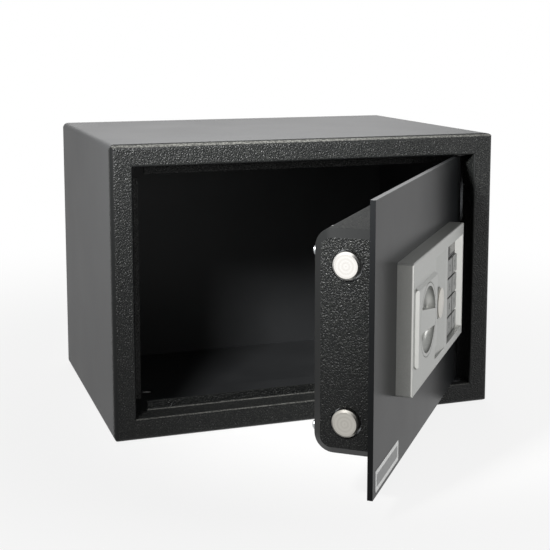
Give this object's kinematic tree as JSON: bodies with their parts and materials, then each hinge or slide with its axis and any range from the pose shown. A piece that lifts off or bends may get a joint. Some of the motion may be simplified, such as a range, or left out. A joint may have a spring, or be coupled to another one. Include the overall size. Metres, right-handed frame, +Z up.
{
  "type": "electronic safe",
  "caption": "Small steel safe with a side-hung door, keypad, turning knob that drives round locking bolts, and a solenoid catch.",
  "frame": {"origin": "middle of the cabinet's footprint, on the floor it stands on", "axes": "+Z up, -Y out of the doorway, +X towards the hinge side; the door is stored standing open"},
  "size_m": [0.35, 0.4728, 0.25],
  "materials": {
    "frame_paint": "dark grey powder coat, fine wrinkle",
    "door_paint": "dark grey paint, satin",
    "tray_paint": "near-black powder coat, coarse wrinkle",
    "zinc_steel": "zinc plated",
    "nickel": "satin nickel plated",
    "brass": "turned",
    "panel_silver": "silver-grey moulding",
    "key_grey": "grey moulding",
    "black_plastic": "black moulding",
    "window_dark": "smoked",
    "lamp_lens": "clear-tinted",
    "board_green": "circuit board",
    "coil_wrap": "lacquered copper wire",
    "cell_wrap": "printed sleeve left plain",
    "button_red": "red moulding"
  },
  "bodies": {
    "cabinet": {"cabinet_shell": "frame_paint", "back_panel": "frame_paint", "front_frame": "frame_paint", "door_stops": "frame_paint", "hinge_brackets": "zinc_steel", "hinge_bushes": "frame_paint"},
    "door": {"door_plate": "door_paint", "hinge_pins": "door_paint", "door_tray": "tray_paint", "tray_screws": "nickel", "tray_posts": "zinc_steel", "bolt_guides": "zinc_steel", "guide_posts": "zinc_steel", "spindle_bush": "brass", "solenoid_frame": "zinc_steel", "solenoid_coil": "coil_wrap", "panel_shell": "panel_silver", "panel_screws": "zinc_steel", "keypad_frame": "black_plastic", "indicator_window": "window_dark", "indicator_lamps": "lamp_lens", "control_board": "board_green", "key_switches": "black_plastic", "lock_barrel": "zinc_steel", "lock_nut": "nickel", "override_cap": "nickel", "battery_box": "black_plastic", "battery_cells": "cell_wrap", "battery_contacts": "nickel", "battery_cover": "black_plastic", "reset_switch": "black_plastic"},
    "bolt_work": {"bolt_carriage": "zinc_steel", "upper_bolt": "nickel", "lower_bolt": "nickel", "bolt_screws": "zinc_steel"},
    "knob_unit": {"knob": "panel_silver", "spindle": "zinc_steel", "cam": "zinc_steel", "cam_screw": "nickel"},
    "plunger": {"solenoid_plunger": "nickel", "plunger_spring": "nickel"},
    "override_plug": {"lock_plug": "brass", "lock_lever": "zinc_steel"},
    "reset": {"reset_button": "button_red"},
    "key_1": {"key_1": "key_grey"},
    "key_2": {"key_2": "key_grey"},
    "key_3": {"key_3": "key_grey"},
    "key_4": {"key_4": "key_grey"},
    "key_5": {"key_5": "key_grey"},
    "key_6": {"key_6": "key_grey"},
    "key_7": {"key_7": "key_grey"},
    "key_8": {"key_8": "key_grey"},
    "key_9": {"key_9": "key_grey"},
    "key_star": {"key_star": "key_grey"},
    "key_0": {"key_0": "key_grey"},
    "key_hash": {"key_hash": "key_grey"}
  },
  "joints": [
    {"name": "door_hinge", "type": "hinge", "parent": "cabinet", "child": "door", "pos_m": [0.1465, -0.111, 0.125], "axis": [0, 0, 1], "range_deg": [-51.5, 53.5]},
    {"name": "bolt_slide", "type": "slide", "parent": "door", "child": "bolt_work", "axis": [-0.6225, -0.7826, 0], "range_m": [0, 0.015]},
    {"name": "knob_turn", "type": "hinge", "parent": "door", "child": "knob_unit", "pos_m": [0.02387, -0.26517, 0.125], "axis": [0.7826, -0.6225, 0], "range_deg": [0, 90]},
    {"name": "plunger_slide", "type": "slide", "parent": "door", "child": "plunger", "axis": [0, 0, 1], "range_m": [-0.004, 0], "stiffness_N_per_m": 100, "springref_m": 0.005, "deforming": ["plunger_spring"]},
    {"name": "override_turn", "type": "hinge", "parent": "door", "child": "override_plug", "pos_m": [0.05872, -0.22135, 0.125], "axis": [-0.7826, 0.6225, 0], "range_deg": [0, 90]},
    {"name": "reset_press", "type": "slide", "parent": "door", "child": "reset", "axis": [-0.6225, -0.7826, 0], "range_m": [0, 0.0015], "stiffness_N_per_m": 300, "springref_m": -0.001},
    {"name": "key_1_press", "type": "slide", "parent": "door", "child": "key_1", "axis": [-0.7826, 0.6225, 0], "range_m": [0, 0.0007], "stiffness_N_per_m": 300, "springref_m": -0.001},
    {"name": "key_2_press", "type": "slide", "parent": "door", "child": "key_2", "axis": [-0.7826, 0.6225, 0], "range_m": [0, 0.0007], "stiffness_N_per_m": 300, "springref_m": -0.001},
    {"name": "key_3_press", "type": "slide", "parent": "door", "child": "key_3", "axis": [-0.7826, 0.6225, 0], "range_m": [0, 0.0007], "stiffness_N_per_m": 300, "springref_m": -0.001},
    {"name": "key_4_press", "type": "slide", "parent": "door", "child": "key_4", "axis": [-0.7826, 0.6225, 0], "range_m": [0, 0.0007], "stiffness_N_per_m": 300, "springref_m": -0.001},
    {"name": "key_5_press", "type": "slide", "parent": "door", "child": "key_5", "axis": [-0.7826, 0.6225, 0], "range_m": [0, 0.0007], "stiffness_N_per_m": 300, "springref_m": -0.001},
    {"name": "key_6_press", "type": "slide", "parent": "door", "child": "key_6", "axis": [-0.7826, 0.6225, 0], "range_m": [0, 0.0007], "stiffness_N_per_m": 300, "springref_m": -0.001},
    {"name": "key_7_press", "type": "slide", "parent": "door", "child": "key_7", "axis": [-0.7826, 0.6225, 0], "range_m": [0, 0.0007], "stiffness_N_per_m": 300, "springref_m": -0.001},
    {"name": "key_8_press", "type": "slide", "parent": "door", "child": "key_8", "axis": [-0.7826, 0.6225, 0], "range_m": [0, 0.0007], "stiffness_N_per_m": 300, "springref_m": -0.001},
    {"name": "key_9_press", "type": "slide", "parent": "door", "child": "key_9", "axis": [-0.7826, 0.6225, 0], "range_m": [0, 0.0007], "stiffness_N_per_m": 300, "springref_m": -0.001},
    {"name": "key_star_press", "type": "slide", "parent": "door", "child": "key_star", "axis": [-0.7826, 0.6225, 0], "range_m": [0, 0.0007], "stiffness_N_per_m": 300, "springref_m": -0.001},
    {"name": "key_0_press", "type": "slide", "parent": "door", "child": "key_0", "axis": [-0.7826, 0.6225, 0], "range_m": [0, 0.0007], "stiffness_N_per_m": 300, "springref_m": -0.001},
    {"name": "key_hash_press", "type": "slide", "parent": "door", "child": "key_hash", "axis": [-0.7826, 0.6225, 0], "range_m": [0, 0.0007], "stiffness_N_per_m": 300, "springref_m": -0.001}
  ],
  "couplings": [
    {"joint": "knob_turn", "follows": "bolt_slide", "rad_per_m": 104.7}
  ]
}
